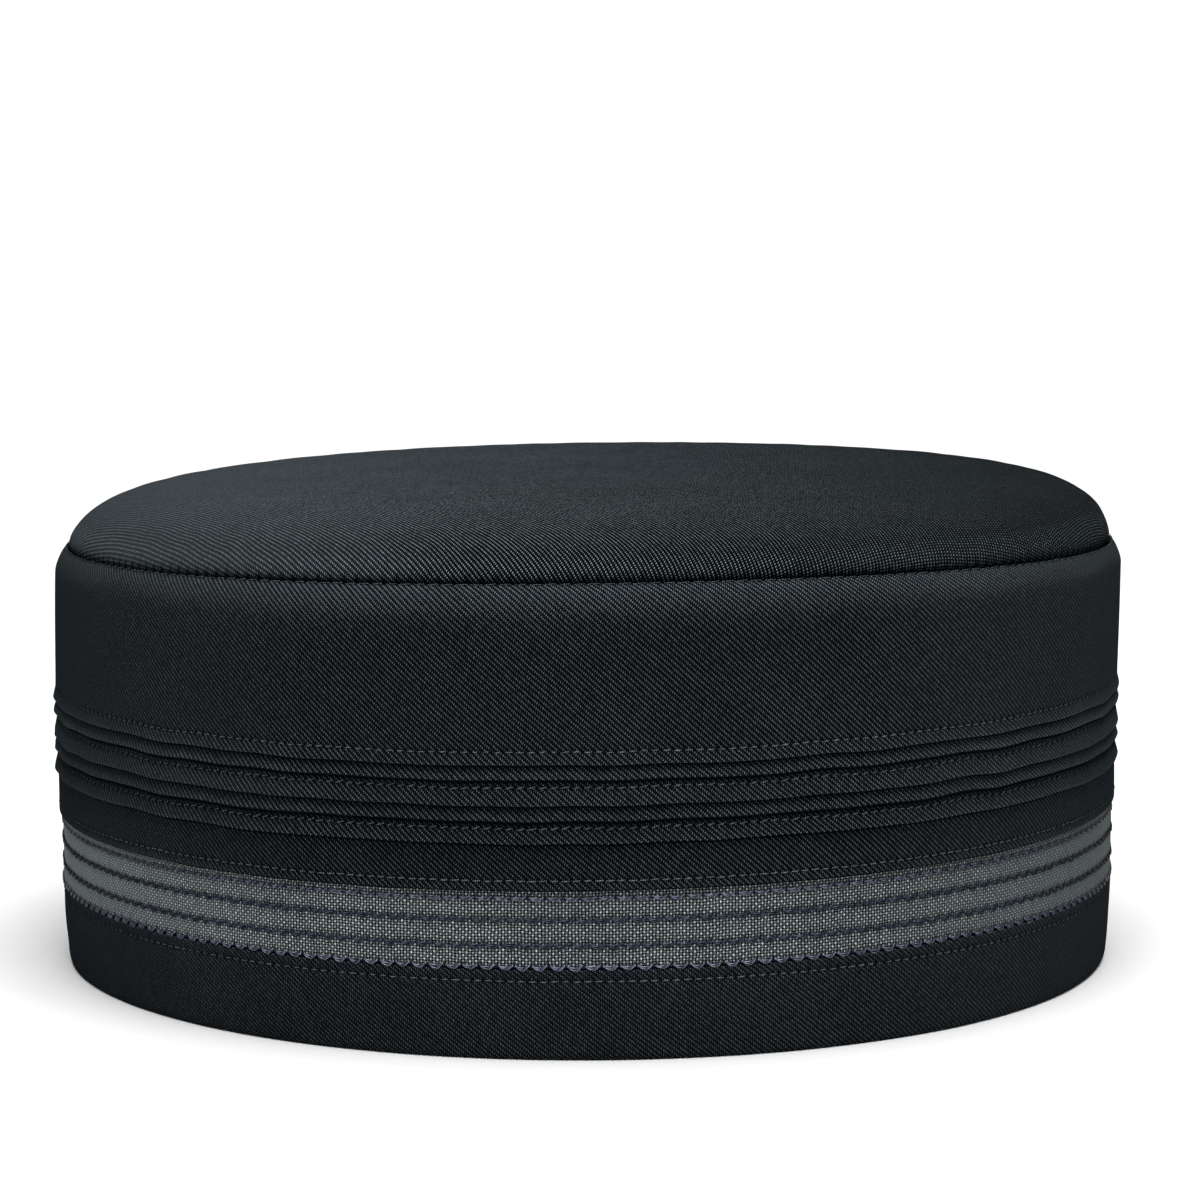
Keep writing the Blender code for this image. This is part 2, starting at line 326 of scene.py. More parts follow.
def twill_weave(tree, lean):
    """The height, from 0 to 1, of a 2/1 twill, and a random number for each of its floats. Each
    warp thread is a column one unit wide. It floats over two weft threads and dips under the
    third, one weft lower in each column to the right, which makes the ribs. A float's height is
    a parabola across the thread times one along it. The weft thread over the dip shows as a
    lower, flatter bead."""
    threads = node(tree, "ShaderNodeUVMap", uv_map="threads").outputs["UV"]
    axes = node(tree, "ShaderNodeSeparateXYZ", [(0, threads)]).outputs
    wander = reckon(tree, "MULTIPLY_ADD", noise(tree, 150.0), 1.2, -0.6)
    jitter = reckon(tree, "MULTIPLY_ADD", noise(tree, 1500.0, 1.0), 0.5, -0.25)
    warp = reckon(tree, "MULTIPLY_ADD", axes["Y"], lean, axes["X"])
    warp = reckon(tree, "ADD", warp, reckon(tree, "ADD", wander, jitter))
    weft = reckon(tree, "ADD", axes["Y"], jitter)
    column = reckon(tree, "FLOOR", warp)
    across = reckon(tree, "MULTIPLY_ADD", reckon(tree, "SUBTRACT", warp, column), 2.0, -1.0)
    step = reckon(tree, "SUBTRACT", weft, column)
    run = reckon(tree, "FLOORED_MODULO", step, float(TWILL_REPEAT))
    hollowed = reckon(tree, "MULTIPLY", across, across)
    arch = reckon(tree, "SUBTRACT", 1.0, hollowed)
    along = reckon(tree, "MULTIPLY_ADD", run, 1.0, -1.1)
    body = reckon(tree, "SUBTRACT", arch, reckon(tree, "MULTIPLY", along, along))
    along = reckon(tree, "MULTIPLY_ADD", run, 1.8, -2.5 * 1.8)
    flat_arch = reckon(tree, "MULTIPLY_ADD", hollowed, -0.6, 1.0)
    bead = reckon(tree, "SUBTRACT", flat_arch, reckon(tree, "MULTIPLY", along, along))
    bead = reckon(tree, "MULTIPLY", bead, WEFT_SHOWN)
    height = reckon(tree, "MAXIMUM", reckon(tree, "MAXIMUM", body, bead), 0.0)
    number = reckon(tree, "FLOOR", reckon(tree, "DIVIDE", step, float(TWILL_REPEAT)))
    return height, chance_of(tree, column, number)


def twill_finish(name, dark, light, lean, crispness, holes):
    """Piece-dyed twill: painted shade, near black, between the floats and painted highlights on
    their tops, each float a little lighter or darker than the next, with slow patches of tone,
    lighter rubbed fold edges, marked painted light and painted shade, painted shade in the marked
    hollows, and needle holes. Where it is brushed smooth the floats fade into one even tone. The
    yarn has no gloss; its highlights are painted."""
    material = bpy.data.materials.new(name)
    material.use_nodes = True
    tree = material.node_tree
    shader = tree.nodes["Principled BSDF"]
    height, chance = twill_weave(tree, lean)
    patch = reckon(tree, "MULTIPLY_ADD", noise(tree, 60.0, 2.0), 0.5, 0.75)
    bright = reckon(tree, "MULTIPLY", reckon(tree, "MULTIPLY_ADD", chance, 0.7, 0.65), patch)
    # Marked tone: lighter on rubbed edges, with painted light and painted shade elsewhere.
    wear_and_painted_light = reckon(tree, "MULTIPLY_ADD", attribute(tree, "wear_and_painted_light"), 0.7, 1.0)
    # Painted highlights on the float tops and painted shade between them.
    share = reckon(tree, "MULTIPLY", reckon(tree, "POWER", height, crispness), bright)
    share = reckon(tree, "MULTIPLY", share, wear_and_painted_light)
    even_tone = reckon(tree, "MULTIPLY", wear_and_painted_light, 0.41 / crispness)
    to_even = reckon(tree, "SUBTRACT", even_tone, share)
    share = reckon(tree, "MULTIPLY_ADD", to_even, attribute(tree, "nap"), share)
    # Painted shade in the marked hollows.
    painted_shade = reckon(tree, "MULTIPLY_ADD", attribute(tree, "painted_shade"), -0.92, 1.0)
    pull = needle_holes(tree, holes)
    clear = reckon(tree, "MULTIPLY_ADD", pull, -0.85, 1.0)
    share = reckon(tree, "MULTIPLY", share, reckon(tree, "MULTIPLY", painted_shade, clear))
    tree.links.new(mixed(tree, share, dark, light), shader.inputs["Base Color"])
    rough = reckon(tree, "MULTIPLY_ADD", height, -0.20, 0.75)
    tree.links.new(rough, shader.inputs["Roughness"])
    relief = reckon(tree, "MULTIPLY_ADD", pull, -3.0, height)
    settings = [("Strength", 0.8), ("Distance", 0.16 * MM), ("Height", relief)]
    bump = node(tree, "ShaderNodeBump", settings)
    tree.links.new(bump.outputs["Normal"], shader.inputs["Normal"])
    shader.inputs["Specular IOR Level"].default_value = 0.0
    return material


def wall_drift(angle, height):
    """How far out and up the wall's cloth lies off its true place: unevenly pressed tucks, a
    bump in the fourth power of the height, and a softer wander over the whole wall."""
    tucks = hump((height - 41.6 * MM) ** 2, 0.0, (9 * MM) ** 2)
    soft = ramp(height, SIDE_FOOT, SIDE_FOOT + 8 * MM) * (1 - ramp(height, 71.6 * MM, SEAM_HEIGHT))
    out = 0.05 * MM * drift(angle, height, 12, 10, 60, 4 * MM) * tucks
    out += 0.10 * MM * drift(angle, height, 13, 4, 22, 18 * MM) * soft
    return out, 0.10 * MM * drift(angle, height, 11, 6, 46, 5 * MM) * tucks


def roll(inset, drop, foot_radius, foot_height, steps):
    """The soft top edge, seam end first: part of an ellipse that leans in by inset and climbs
    by drop as it turns through the roll's sweep from the upright wall."""
    turn = np.linspace(ROLL_SWEEP, 0, steps)
    radius = foot_radius - inset * (1 - np.cos(turn)) / (1 - math.cos(ROLL_SWEEP))
    height = foot_height + drop * np.sin(turn) / math.sin(ROLL_SWEEP)
    return list(zip(radius, height))


wall_top = SEAM_HEIGHT - ROLL_DROP
outside = [(r, z, 0.0) for r, z in roll(ROLL_INSET, ROLL_DROP, WALL_RADIUS, wall_top, 14)]
outside[0] = (*outside[0][:2], LIP_BEND)
outside.append((WALL_RADIUS, TUCK_FOOT + TUCK_FIELD, 1.0 * MM))
crevice_shade_bands = []
for height_share, proud_share, depth_share, crevice_wall in FOLDS:
    edge = TUCK_FOOT + height_share * TUCK_FIELD
    crevice = WALL_RADIUS - depth_share * TUCK_LAYER
    outside.append((WALL_RADIUS + proud_share * TUCK_LAYER, edge, EDGE_BEND))
    outside.append((crevice, edge + CREVICE_RISE, CREVICE_BEND))
    outside.append((crevice, edge - crevice_wall, EDGE_BEND))
    # Where each crevice's painted shade lies: its middle and its reach.
    crevice_shade_bands.append((edge - 0.5 * crevice_wall, 0.15 * MM + 0.4 * crevice_wall))
outside.append((FOOT_OUTSIDE, SIDE_FOOT, 0.40 * MM))
inner_roll = roll(WALL_INSIDE - LIP_INSIDE[0], LIP_INSIDE[1] - wall_top, WALL_INSIDE, wall_top, 7)
inside = [
    (FOOT_INSIDE, SIDE_FOOT, 0.30 * MM),
    (FOOT_INSIDE, SIDE_FOOT + FOOT_LAP, 0.10 * MM),
    (WALL_INSIDE, SIDE_FOOT + FOOT_LAP, 0.10 * MM),
]
inside += [(r, z, 0.0) for r, z in inner_roll[::-1]]
fine_heights = WALL_ROWS + tuple(middle for middle, reach in crevice_shade_bands)
side_line = refined(
    eased(outside + inside),
    closed=True,
    coarse=1.7 * MM,
    fine=0.27 * MM,
    fine_heights=fine_heights,
    face_radius=93.0 * MM,
)

angle, radius, height = carried_round(side_line, COLUMNS)
flat_radius, flat_height = radius, height.copy()
on_face = radius > 92.9 * MM
row_mark = sum(hump(height, row, ROW_SPREAD) for row in WALL_ROWS) * on_face
out, up = wall_drift(angle, height)
side_panel = cloth_mesh(
    "side_panel_cloth",
    placed(angle, radius - ROW_SINK * row_mark + out, height + up * on_face),
    ring_threads(side_line, COLUMNS, WALL_RADIUS),
    closed=True,
)
proud = flat_radius > WALL_RADIUS + 0.25 * MM
# Painted shade: darker in the crevices under the folds and in the lip at the crown seam, less so
# at the sides.
seam_gap = np.hypot(flat_radius - 91.1 * MM, flat_height - 75.5 * MM)
seam_painted_shade = 0.8 * hump(seam_gap, 0.0, 0.40 * MM)
seam_painted_shade *= 1.0 - 0.8 * to_sides(angle, radius, 50 * MM, 85 * MM)
fold_painted_shade = sum(hump(flat_height, middle, reach) for middle, reach in crevice_shade_bands)
fold_painted_shade = fold_painted_shade * on_face * ~proud
# Lighter where rubbed: fold edges and folded foot. Painted highlight along the roll in front and
# behind, painted light on the tucks' upper half and painted shade on the plain wall below them.
fold_rub = sum(hump(flat_height, TUCK_FOOT + fold[0] * TUCK_FIELD, 0.5 * MM) for fold in FOLDS)
foot_rub = hump(flat_height, SIDE_FOOT, 0.4 * MM) * on_face
roll_painted_highlight = 1.4 * hump(flat_height, 73.5 * MM, 3.0 * MM) * (flat_radius > 91.2 * MM)
roll_painted_highlight = roll_painted_highlight * (1.0 - 0.8 * to_sides(angle, radius, 35 * MM, 85 * MM))
tuck_painted_light_and_shade = 0.35 * hump(flat_height, 44.5 * MM, 3.5 * MM) - 0.2 * hump(flat_height, 32 * MM, 3 * MM)
mark(side_panel, "row", row_mark)
mark(side_panel, "seam", hump(seam_gap, 0.0, 0.95 * MM))
mark(side_panel, "painted_shade", np.clip(fold_painted_shade + seam_painted_shade, 0.0, 1.0))
mark(side_panel, "nap", side_nap(angle, radius))
mark(side_panel, "wear_and_painted_light", fold_rub * proud + foot_rub + roll_painted_highlight + tuck_painted_light_and_shade)
SEAM_STITCHES = 248
ROW_STITCHES = 335
TWILL_DARK = (0.0006, 0.0009, 0.0011, 1.0)
TWILL_LIGHT = (0.0840, 0.1000, 0.1120, 1.0)
wall_holes = (("row", ROW_STITCHES, 0.0), ("seam", SEAM_STITCHES, 0.0))
side_panel.data.materials.append(
    twill_finish(
        "wall_twill",
        dark=TWILL_DARK,
        light=TWILL_LIGHT,
        lean=WARP_LEAN,
        crispness=2.2,
        holes=wall_holes,
    )
)
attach(side_panel, "root")
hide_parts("side_panel")


# Topstitching on the side panel: four rows of lockstitch in a grey-green thread, one above the
# tucks, one close under each of the two deep fold edges, and one just over the folded foot.
# Each stitch is a short round of thread that rises from its needle hole and dives at the next.
TOPSTITCH_REACH = 1.50 * MM
TOPSTITCH_THICK = 0.21 * MM
WALL_ROW_LIES = (
    # how far the row's cloth lies outside the wall's radius, and how far a stitch climbs
    (0.00 * MM, 0.05 * MM),
    (-0.11 * MM, 0.17 * MM),
    (-0.09 * MM, 0.20 * MM),
    (-0.12 * MM, 0.03 * MM),
)


def thread_lengths(name, paths, outward, half_width, half_height, sides):
    """Short lengths of thread, one for each path of points. At each point an oval ring stands
    across the path, half_width along the cloth and half_height outwards, and a pole closes each
    end. The UV map runs along and round each length."""
    along = np.gradient(paths, axis=1)
    along /= np.linalg.norm(along, axis=-1, keepdims=True)
    side = np.cross(outward, along)
    side /= np.linalg.norm(side, axis=-1, keepdims=True)
    up = np.cross(along, side)
    turn = np.linspace(0, 2 * np.pi, sides, endpoint=False)[:, None]
    wide, tall = half_width[..., None, None], half_height[..., None, None]
    ring = side[:, :, None] * wide * np.cos(turn) + up[:, :, None] * tall * np.sin(turn)
    tube = (paths[:, :, None] + ring)[:, 1:-1]
    count, rings = tube.shape[:2]
    body = np.arange(count * rings * sides).reshape(count, rings, sides)
    body = np.concatenate((body, body[..., :1]), axis=-1)
    poles = np.arange(2 * count).reshape(2, count, 1) + count * rings * sides
    first, last = np.broadcast_to(poles, (2, count, sides))
    quads = (body[:, :-1, :-1], body[:, :-1, 1:], body[:, 1:, 1:], body[:, 1:, :-1])
    opening = np.stack((first, body[:, 0, 1:], body[:, 0, :-1]), axis=-1)
    closing = np.stack((body[:, -1, :-1], body[:, -1, 1:], last), axis=-1)
    faces = np.stack(quads, axis=-1).reshape(-1, 4).tolist()
    faces += opening.reshape(-1, 3).tolist() + closing.reshape(-1, 3).tolist()
    corners = np.vstack((tube.reshape(-1, 3), paths[:, 0], paths[:, -1]))
    mesh = bpy.data.meshes.new(name)
    mesh.from_pydata(corners.tolist(), [], faces)
    u, v = np.meshgrid(np.linspace(0, 1, rings), np.linspace(0, 1, sides + 1), indexing="ij")
    grid = np.stack((u, v), axis=-1)
    uv = np.stack((grid[:-1, :-1], grid[:-1, 1:], grid[1:, 1:], grid[1:, :-1]), axis=2)
    uv = np.broadcast_to(uv, (count,) + uv.shape).reshape(-1, 2)
    uv = np.vstack((uv, np.full((6 * count * sides, 2), 0.5)))
    layer = mesh.uv_layers.new(name="thread")
    layer.data.foreach_set("uv", uv.astype(np.float32).ravel())
    mesh.shade_smooth()
    piece = bpy.data.objects.new(name, mesh)
    bpy.context.collection.objects.link(piece)
    return piece


def lockstitches(name, radius, height, count, reach, thickness, slant, cloth_drift, seed):
    """A row of stitches round the head, each an arch of thread: its middle stands out of the
    cloth by most of its thickness, its ends sink in, and it climbs by slant from end to end. The
    row follows the cloth's own drift."""
    dice = np.random.default_rng(seed)
    t = np.linspace(-1, 1, 7)
    middle = 2 * np.pi * (np.arange(count) + 0.5) / count
    stretch = dice.normal(1.0, 0.06, (count, 1))
    angle = middle[:, None] + 0.5 * reach / radius * t * stretch
    tilt = slant * dice.normal(1.0, 0.30, (count, 1))
    lie = height + tilt * t + dice.normal(0, 0.03 * MM, (count, 1))
    tension = dice.normal(0, 0.12, (count, 1))
    out, up = cloth_drift(angle, np.full_like(angle, height))
    stand = radius + out + thickness * (0.35 + tension - 1.1 * t**4)
    outward = np.stack((np.cos(angle), np.sin(angle), np.zeros_like(angle)), axis=-1)
    size = 0.5 * thickness * (1 - 0.35 * t**4)
    return thread_lengths(name, placed(angle, stand, lie + up), outward, size, size, 6)


def thread_finish(name, dark, light, roughness, gloss, twist, side_painted_shade):
    """Spun thread: slanting plies with painted highlights on their tops and painted shade between,
    with a soft gloss. Painted shade darkens the thread towards both ends of a stitch, where it is
    drawn down into its holes, and takes the given side share of its light away with the square of
    x from the cap's middle."""
    material = bpy.data.materials.new(name)
    material.use_nodes = True
    tree = material.node_tree
    shader = tree.nodes["Principled BSDF"]
    place = node(tree, "ShaderNodeUVMap", uv_map="thread").outputs["UV"]
    axes = node(tree, "ShaderNodeSeparateXYZ", [(0, place)]).outputs
    lay = reckon(tree, "MULTIPLY_ADD", axes["X"], twist, reckon(tree, "MULTIPLY", axes["Y"], 2.0))
    ply = reckon(tree, "ABSOLUTE", reckon(tree, "SINE", reckon(tree, "MULTIPLY", lay, math.pi)))
    tone = reckon(tree, "MULTIPLY_ADD", noise(tree, 500.0), 1.8, 0.1)
    # Painted shade towards both ends of the stitch.
    off_middle = reckon(tree, "MULTIPLY_ADD", axes["X"], 2.0, -1.0)
    end_shade = reckon(tree, "MULTIPLY", off_middle, off_middle)
    end_shade = reckon(tree, "MULTIPLY_ADD", end_shade, -0.85, 1.0)
    share = reckon(tree, "MULTIPLY", reckon(tree, "POWER", ply, 3.0), tone)
    share = reckon(tree, "MULTIPLY", share, end_shade)
    # Painted shade towards the cap's left and right sides.
    own_place = node(tree, "ShaderNodeTexCoord").outputs["Object"]
    own_x = node(tree, "ShaderNodeSeparateXYZ", [(0, own_place)]).outputs["X"]
    square = reckon(tree, "MULTIPLY", own_x, own_x)
    side_shade = reckon(tree, "MULTIPLY_ADD", square, -side_painted_shade / WALL_RADIUS**2, 1.0)
    share = reckon(tree, "MULTIPLY", share, side_shade)
    tree.links.new(mixed(tree, share, dark, light), shader.inputs["Base Color"])
    settings = [("Strength", 0.7), ("Distance", 0.06 * MM), ("Height", ply)]
    bump = node(tree, "ShaderNodeBump", settings)
    tree.links.new(bump.outputs["Normal"], shader.inputs["Normal"])
    shader.inputs["Roughness"].default_value = roughness
    shader.inputs["Specular IOR Level"].default_value = gloss
    return material


topstitch_thread = thread_finish(
    "topstitch_thread",
    dark=(0.006, 0.008, 0.008, 1.0),
    light=(0.205, 0.261, 0.246, 1.0),
    roughness=0.6,
    gloss=0.0,
    twist=3.0,
    side_painted_shade=0.9,
)
for number, (off_wall, slant) in enumerate(WALL_ROW_LIES, start=1):
    row = lockstitches(
        f"topstitch_{number}",
        radius=WALL_RADIUS + off_wall - ROW_SINK,
        height=WALL_ROWS[number - 1],
        count=ROW_STITCHES,
        reach=TOPSTITCH_REACH,
        thickness=TOPSTITCH_THICK,
        slant=slant,
        cloth_drift=wall_drift,
        seed=20 + number,
    )
    row.data.materials.append(topstitch_thread)
    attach(row, "root")


# Grey insert: a flat band of mid-grey plain weave in thicker yarn than the twill. It shows
# between the side panel and the lower band, swells a little there, and runs on behind both.
INSERT_SHOWN = 12.8 * MM
BAND_TOP = SIDE_FOOT - INSERT_SHOWN
INSERT_TOP = SIDE_FOOT + 3.8 * MM
INSERT_BOTTOM = BAND_TOP - 4.2 * MM
INSERT_OUTSIDE = 91.58 * MM
INSERT_INSIDE = 90.48 * MM
INSERT_SWELL = 1.9 * MM
INSERT_FACE = INSERT_OUTSIDE + INSERT_SWELL
YARN_WARP = 0.52 * MM
YARN_WEFT = 0.47 * MM
EMBROIDERY_ROWS = (26.25 * MM, 22.8 * MM, 18.7 * MM, 15.25 * MM)
SCALLOPS = 212

insert_corners = [
    (INSERT_OUTSIDE, INSERT_TOP, 0.2 * MM),
    (INSERT_OUTSIDE, SIDE_FOOT - 0.05 * MM, 0.05 * MM),
    (INSERT_FACE, SIDE_FOOT - 0.15 * MM, 0.3 * MM),
    (INSERT_FACE, BAND_TOP + 0.25 * MM, 0.3 * MM),
    (INSERT_OUTSIDE, BAND_TOP + 0.1 * MM, 0.05 * MM),
    (INSERT_OUTSIDE, INSERT_BOTTOM, 0.2 * MM),
    (INSERT_INSIDE, INSERT_BOTTOM, 0.2 * MM),
    (INSERT_INSIDE, BAND_TOP + 0.9 * MM, 0.3 * MM),
    (INSERT_INSIDE + INSERT_SWELL, BAND_TOP + 1.5 * MM, 0.5 * MM),
    (INSERT_INSIDE + INSERT_SWELL, SIDE_FOOT - 1.5 * MM, 0.5 * MM),
    (INSERT_INSIDE, SIDE_FOOT - 0.9 * MM, 0.3 * MM),
    (INSERT_INSIDE, INSERT_TOP, 0.2 * MM),
]


def insert_drift(angle, height):
    """How far out the insert's cloth lies off its true place where it shows."""
    shown = ramp(height, BAND_TOP, BAND_TOP + 2 * MM) * (1 - ramp(height, 25.5 * MM, SIDE_FOOT))
    return 0.05 * MM * drift(angle, height, 31, 8, 60, 6 * MM) * shown


insert_line = refined(
    eased(insert_corners),
    closed=True,
    coarse=0.9 * MM,
    fine=0.3 * MM,
    fine_heights=EMBROIDERY_ROWS,
    face_radius=92.4 * MM,
)
angle, radius, height = carried_round(insert_line, COLUMNS)
on_face = radius > 92.4 * MM
dents = sum(hump(height, row, 0.55 * MM) for row in EMBROIDERY_ROWS[1:3]) * on_face
radius = radius + insert_drift(angle, height) - 0.12 * MM * dents
insert_band = cloth_mesh(
    "insert_band_cloth",
    placed(angle, radius, height),
    ring_threads(insert_line, COLUMNS, WALL_RADIUS),
    closed=True,
)
for number, row_height in enumerate(EMBROIDERY_ROWS, start=1):
    mark(insert_band, f"row_{number}", hump(height, row_height, 0.55 * MM) * on_face)
# Painted shade along the embroidery rows and under the seams at the insert's top and bottom.
row_shade = sum(hump(height, row, 0.40 * MM) for row in EMBROIDERY_ROWS)
seam_shade = hump(height, SIDE_FOOT, 0.25 * MM) + hump(height, BAND_TOP, 0.35 * MM)
mark(insert_band, "nap", side_nap(angle, radius))
# Painted light on the insert's left and painted shade on its right.
mark(insert_band, "wear_and_painted_light", -0.26 * radius * np.cos(angle) / WALL_RADIUS)
mark(insert_band, "painted_shade", np.clip(seam_shade + 0.5 * row_shade, 0.0, 1.0))


twill_threads = TWILL_REPEAT * round(2 * np.pi * WALL_RADIUS / (TWILL_REPEAT * WARP_SPACING))
YARN_SHARE = 2 * round(np.pi * INSERT_OUTSIDE / YARN_WARP) / twill_threads


def plain_weave_finish(name, hole, yarn, holes):
    """Plain weave in thick yarn: at every second crossing the warp lies on top, at the others the
    weft does. Each top is an oval pillow with a painted highlight in its middle, and painted shade
    fills the dark holes between. Where the cloth is brushed smooth the pillows fade into one even
    tone. Marked painted light and painted shade change its tone."""
    material = bpy.data.materials.new(name)
    material.use_nodes = True
    tree = material.node_tree
    shader = tree.nodes["Principled BSDF"]
    threads = node(tree, "ShaderNodeUVMap", uv_map="threads").outputs["UV"]
    axes = node(tree, "ShaderNodeSeparateXYZ", [(0, threads)]).outputs
    jitter = reckon(tree, "MULTIPLY_ADD", noise(tree, 700.0, 1.0), 0.6, -0.3)
    slow = reckon(tree, "MULTIPLY_ADD", noise(tree, 120.0, 1.0), 1.4, -0.7)
    warp = reckon(tree, "MULTIPLY_ADD", axes["X"], YARN_SHARE, jitter)
    weft = reckon(tree, "MULTIPLY_ADD", axes["Y"], WEFT_SPACING / YARN_WEFT, jitter)
    weft = reckon(tree, "ADD", weft, slow)
    column, row = reckon(tree, "FLOOR", warp), reckon(tree, "FLOOR", weft)
    x = reckon(tree, "MULTIPLY_ADD", reckon(tree, "SUBTRACT", warp, column), 2.0, -1.0)
    y = reckon(tree, "MULTIPLY_ADD", reckon(tree, "SUBTRACT", weft, row), 2.0, -1.0)
    turn = reckon(tree, "FLOORED_MODULO", reckon(tree, "ADD", column, row), 2.0)
    wide = reckon(tree, "MULTIPLY_ADD", turn, -0.75, 1.25)
    tall = reckon(tree, "MULTIPLY_ADD", turn, 0.55, 0.60)
    wide = reckon(tree, "MULTIPLY", reckon(tree, "MULTIPLY", x, x), wide)
    tall = reckon(tree, "MULTIPLY", reckon(tree, "MULTIPLY", y, y), tall)
    pillow = reckon(tree, "SUBTRACT", 1.0, reckon(tree, "ADD", wide, tall))
    lift = reckon(tree, "MULTIPLY_ADD", turn, -0.42, 1.0)
    pillow = reckon(tree, "MULTIPLY", reckon(tree, "MAXIMUM", pillow, 0.0), lift)
    bright = reckon(tree, "MULTIPLY_ADD", chance_of(tree, column, row), 0.6, 0.7)
    patch = reckon(tree, "MULTIPLY_ADD", noise(tree, 60.0, 3.0), 0.6, 0.7)
    # Painted highlights on the pillows and painted shade between them.
    share = reckon(tree, "MULTIPLY", reckon(tree, "POWER", pillow, 2.2), bright)
    share = reckon(tree, "MULTIPLY", share, patch)
    to_even = reckon(tree, "SUBTRACT", 0.19, share)
    share = reckon(tree, "MULTIPLY_ADD", to_even, attribute(tree, "nap"), share)
    wear_and_painted_light = reckon(tree, "ADD", attribute(tree, "wear_and_painted_light"), 1.0)
    share = reckon(tree, "MULTIPLY", share, wear_and_painted_light)
    pull = needle_holes(tree, holes)
    clear = reckon(tree, "MULTIPLY_ADD", pull, -0.9, 1.0)
    painted_shade = reckon(tree, "MULTIPLY_ADD", attribute(tree, "painted_shade"), -0.9, 1.0)
    share = reckon(tree, "MULTIPLY", share, reckon(tree, "MULTIPLY", clear, painted_shade))
    tree.links.new(mixed(tree, share, hole, yarn), shader.inputs["Base Color"])
    relief = reckon(tree, "MULTIPLY_ADD", pull, -2.0, pillow)
    settings = [("Strength", 0.8), ("Distance", 0.22 * MM), ("Height", relief)]
    bump = node(tree, "ShaderNodeBump", settings)
    tree.links.new(bump.outputs["Normal"], shader.inputs["Normal"])
    shader.inputs["Roughness"].default_value = 0.75
    shader.inputs["Specular IOR Level"].default_value = 0.03
    return material


insert_holes = [(f"row_{number}", SCALLOPS, 1.7 * number) for number in (1, 2, 3, 4)]
insert_band.data.materials.append(
    plain_weave_finish(
        "grey_weave",
        hole=(0.006, 0.007, 0.008, 1.0),
        yarn=(0.520, 0.600, 0.615, 1.0),
        holes=insert_holes,
    )
)
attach(insert_band, "root")
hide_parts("insert_band")


# Embroidery on the insert: four rows of scallops in navy thread, each stitch two strands that sag
# from one needle hole to the next. The middle rows are drawn down into the cloth, and the lowest
# runs along the seam between the insert and the lower band. The top and lowest rows take a lighter
# copy of the navy thread with painted highlights, the middle rows a darker copy.
SCALLOP_REACH = 2.70 * MM
EMBROIDERY = (
    # sag, thickness of a strand, how far it stands out, and whether it takes the lighter copy of
    # the thread with painted highlights
    (0.32 * MM, 0.32 * MM, 0.10 * MM, True),
    (0.36 * MM, 0.33 * MM, 0.11 * MM, False),
    (0.36 * MM, 0.33 * MM, 0.11 * MM, False),
    (0.40 * MM, 0.33 * MM, 0.16 * MM, True),
)


def scallops(name, height, phase, sag, thickness, stand, seed):
    """A row of sagging stitches. A strand falls by sag to its middle as one minus the square of
    the place along it, and thins and dives at both ends. The two strands of a stitch part by
    nearly their thickness in the middle, the upper one lying a little deeper."""
    dice = np.random.default_rng(seed)
    t = np.linspace(-1, 1, 9)
    middle = (2 * np.pi * (np.arange(SCALLOPS) + 0.5) - phase) / SCALLOPS
    middle = middle + dice.normal(0, 0.06 * MM / WALL_RADIUS, SCALLOPS)
    depth = sag * dice.normal(1.0, 0.18, (SCALLOPS, 1))
    tilt = dice.normal(0.05 * MM, 0.06 * MM, (SCALLOPS, 1))
    angle = middle[:, None] + 0.5 * SCALLOP_REACH / INSERT_FACE * t
    lie = height + depth * (2 * t**2 - 1) + tilt * t
    face = INSERT_FACE + insert_drift(angle, np.full_like(angle, height))
    out = face + stand - (0.35 * MM + stand) * t**6
    part = 0.45 * thickness * (1 - t**2) * dice.normal(1.0, 0.2, (SCALLOPS, 1))
    angle = np.concatenate((angle, angle))
    lie = np.concatenate((lie + part, lie - part))
    out = np.concatenate((out - 0.06 * MM, out))
    outward = np.stack((np.cos(angle), np.sin(angle), np.zeros_like(angle)), axis=-1)
    taper = 0.5 * thickness * (0.35 + 0.65 * (1 - t**2) ** 0.6)
    return thread_lengths(name, placed(angle, out, lie), outward, taper, taper, 6)


navy_thread = thread_finish(
    "navy_thread",
    dark=(0.001, 0.002, 0.005, 1.0),
    light=(0.085, 0.108, 0.150, 1.0),
    roughness=0.5,
    gloss=0.05,
    twist=1.0,
    side_painted_shade=0.95,
)
# A lighter copy of the navy thread: its light colour is a painted highlight.
navy_thread_lit = thread_finish(
    "navy_thread_painted_lit",
    dark=(0.002, 0.004, 0.012, 1.0),
    light=(0.290, 0.300, 0.405, 1.0),
    roughness=0.4,
    gloss=0.1,
    twist=1.0,
    side_painted_shade=0.97,
)
for number, (sag, thickness, stand, catches_light) in enumerate(EMBROIDERY, start=1):
    row_height = EMBROIDERY_ROWS[number - 1]
    name = f"embroidery_{number}"
    row = scallops(name, row_height, 1.7 * number, sag, thickness, stand, 40 + number)
    row.data.materials.append(navy_thread_lit if catches_light else navy_thread)
    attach(row, "root")


# Lower band: a strip of the same twill at the head opening. Its top edge is folded over the
# insert's and topstitched, and its lower edge is turned up inside as a flat double hem.
BAND_RADIUS = 93.58 * MM
BAND_LEAN = 0.80 * MM
BAND_INSIDE = 91.88 * MM
HEM_INSIDE = 90.78 * MM
HEM_TOP = 10.2 * MM
BAND_BELLY = 0.10 * MM
BAND_ROW = 12.8 * MM

